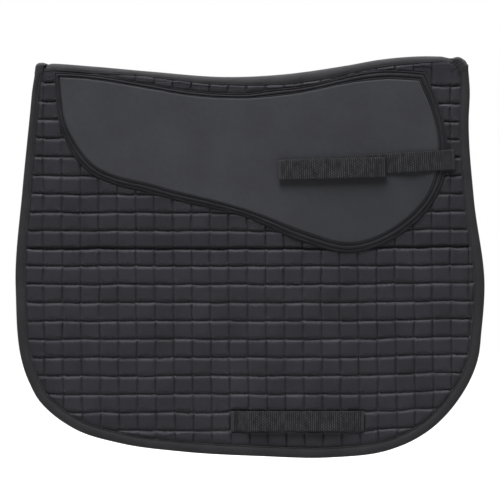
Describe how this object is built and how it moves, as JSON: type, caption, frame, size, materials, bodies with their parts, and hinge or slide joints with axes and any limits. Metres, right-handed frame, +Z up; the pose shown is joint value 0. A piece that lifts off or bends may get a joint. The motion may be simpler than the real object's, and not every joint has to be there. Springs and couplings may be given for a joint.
{
  "type": "english saddle pad",
  "caption": "Square-quilted english saddle pad, folded at its spine, with grip panels, bound edges, billet straps and girth loops.",
  "frame": {"origin": "on the fold's middle plane at mid length, level with the lowest point of the spine seam under its tape", "axes": "+X towards the horse's front, +Z up, the off (right) side faces -Y and the near side +Y"},
  "size_m": [0.648, 0.036, 0.5557],
  "materials": {
    "quilted_cotton": "matt black cotton twill, quilted",
    "binding_tape": "soft cotton binding, low sheen",
    "lining_cotton": "matt black cotton lining",
    "wadding": "soft polyester wadding, hidden inside",
    "grip_fabric": "matt grey non-slip fabric",
    "webbing": "ribbed black polypropylene webbing",
    "hook_and_loop": "matt black hook-and-loop tape"
  },
  "bodies": {
    "spine": {"spine_tape": "binding_tape", "spine_seam_tape": "lining_cotton", "front_ridge_binding": "binding_tape", "rear_ridge_binding": "binding_tape"},
    "off_side": {"off_cover": "quilted_cotton", "off_wadding": "wadding", "off_lining": "lining_cotton", "off_edge_binding": "binding_tape", "off_grip_panel": "grip_fabric", "off_grip_binding": "binding_tape", "off_girth_loop": "webbing", "off_strap_end": "webbing"},
    "off_strap": {"off_billet_strap": "webbing", "off_loop_tape": "hook_and_loop", "off_strap_fold": "webbing"},
    "off_tail": {"off_strap_tail": "webbing", "off_hook_tape": "hook_and_loop"},
    "near_side": {"near_cover": "quilted_cotton", "near_wadding": "wadding", "near_lining": "lining_cotton", "near_edge_binding": "binding_tape", "near_grip_panel": "grip_fabric", "near_grip_binding": "binding_tape", "near_girth_loop": "webbing", "near_strap_end": "webbing"},
    "near_strap": {"near_billet_strap": "webbing", "near_loop_tape": "hook_and_loop", "near_strap_fold": "webbing"},
    "near_tail": {"near_strap_tail": "webbing", "near_hook_tape": "hook_and_loop"}
  },
  "joints": [
    {"name": "off_fold", "type": "hinge", "parent": "spine", "child": "off_side", "pos_m": [0, 0, 0.0293], "axis": [-1, 0, 0], "range_deg": [0, 90], "deforming": ["spine_tape", "front_ridge_binding", "rear_ridge_binding"]},
    {"name": "off_strap_swing", "type": "hinge", "parent": "off_side", "child": "off_strap", "pos_m": [0.2628, -0.0141, -0.1141], "axis": [0, 0, 1], "range_deg": [0, 150]},
    {"name": "off_tail_peel", "type": "hinge", "parent": "off_strap", "child": "off_tail", "pos_m": [0.0417, -0.0152, -0.12762], "axis": [0, 0, -1], "range_deg": [0, 180], "deforming": ["off_strap_fold"]},
    {"name": "near_fold", "type": "hinge", "parent": "spine", "child": "near_side", "pos_m": [0, 0, 0.0293], "axis": [1, 0, 0], "range_deg": [0, 90], "deforming": ["spine_tape", "front_ridge_binding", "rear_ridge_binding"]},
    {"name": "near_strap_swing", "type": "hinge", "parent": "near_side", "child": "near_strap", "pos_m": [0.2628, 0.0141, -0.1141], "axis": [0, 0, -1], "range_deg": [0, 150]},
    {"name": "near_tail_peel", "type": "hinge", "parent": "near_strap", "child": "near_tail", "pos_m": [0.0417, 0.0152, -0.12762], "axis": [0, 0, 1], "range_deg": [0, 180], "deforming": ["near_strap_fold"]}
  ]
}
